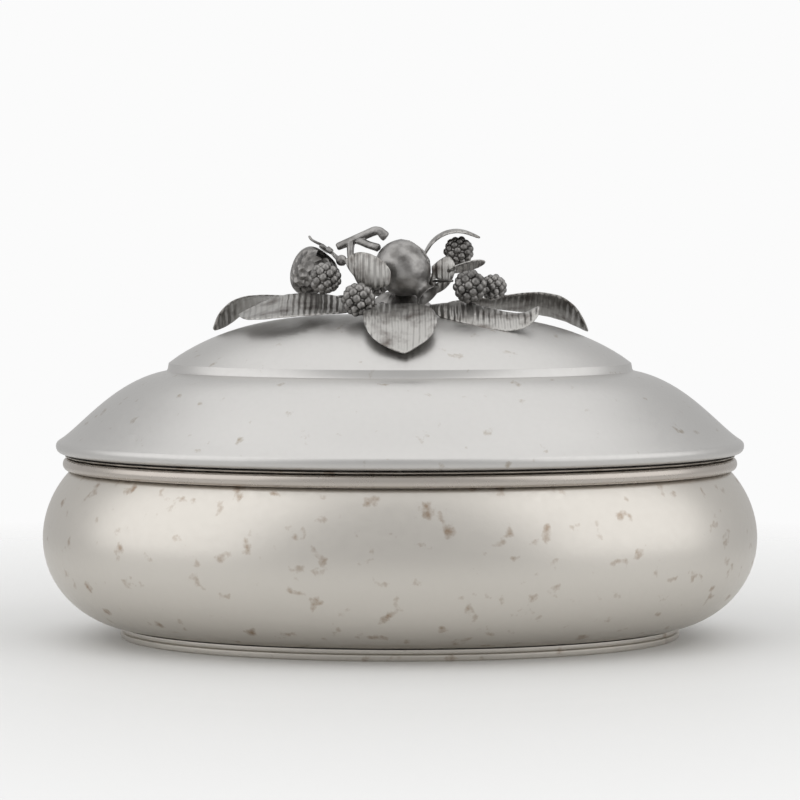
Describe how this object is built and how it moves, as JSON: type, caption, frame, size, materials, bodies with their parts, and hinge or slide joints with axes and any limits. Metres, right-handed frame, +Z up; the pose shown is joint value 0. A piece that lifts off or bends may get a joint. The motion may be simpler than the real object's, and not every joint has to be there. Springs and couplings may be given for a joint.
{
  "type": "vegetable tureen",
  "caption": "Oval bellied silver serving dish with a low foot ring and a lift-off stepped lid, whose handle is a cast bouquet of fruit and leaves.",
  "frame": {"origin": "centre of the foot ring's oval, on the surface that the dish stands on", "axes": "+Z up, +X along the long way of the oval, -Y towards the viewer of the picture"},
  "size_m": [0.3, 0.216, 0.1725],
  "materials": {
    "silver": "worn polished silver",
    "dark_silver": "oxidised cast silver"
  },
  "bodies": {
    "dish": {"bowl_shell": "silver", "foot_ring": "silver", "rim_band": "silver"},
    "lid": {"lid_shell": "silver", "lid_bezel": "silver", "finial_stud": "silver", "finial_washer": "silver", "finial_nut": "silver", "finial_base": "dark_silver", "pomegranate_body": "dark_silver", "pomegranate_seeds": "dark_silver", "strawberry": "dark_silver", "strawberry_calyx": "dark_silver", "berry_left": "dark_silver", "berry_front": "dark_silver", "berry_right": "dark_silver", "berry_far_right": "dark_silver", "berry_top_right": "dark_silver", "berry_back_left": "dark_silver", "berry_back_right": "dark_silver", "twig": "dark_silver", "bud": "dark_silver", "stem_front": "dark_silver", "stem_left": "dark_silver", "stem_right": "dark_silver", "leaf_left": "dark_silver", "leaf_left_far": "dark_silver", "leaf_front": "dark_silver", "leaf_right_front": "dark_silver", "leaf_right_back": "dark_silver", "leaf_cowl": "dark_silver", "leaf_small": "dark_silver", "leaf_lobe": "dark_silver", "leaf_quilted": "dark_silver", "leaf_back": "dark_silver"}
  },
  "joints": [
    {"name": "lid_lift", "type": "slide", "parent": "dish", "child": "lid", "axis": [0, 0, 1], "range_m": [0, 0.12]}
  ]
}
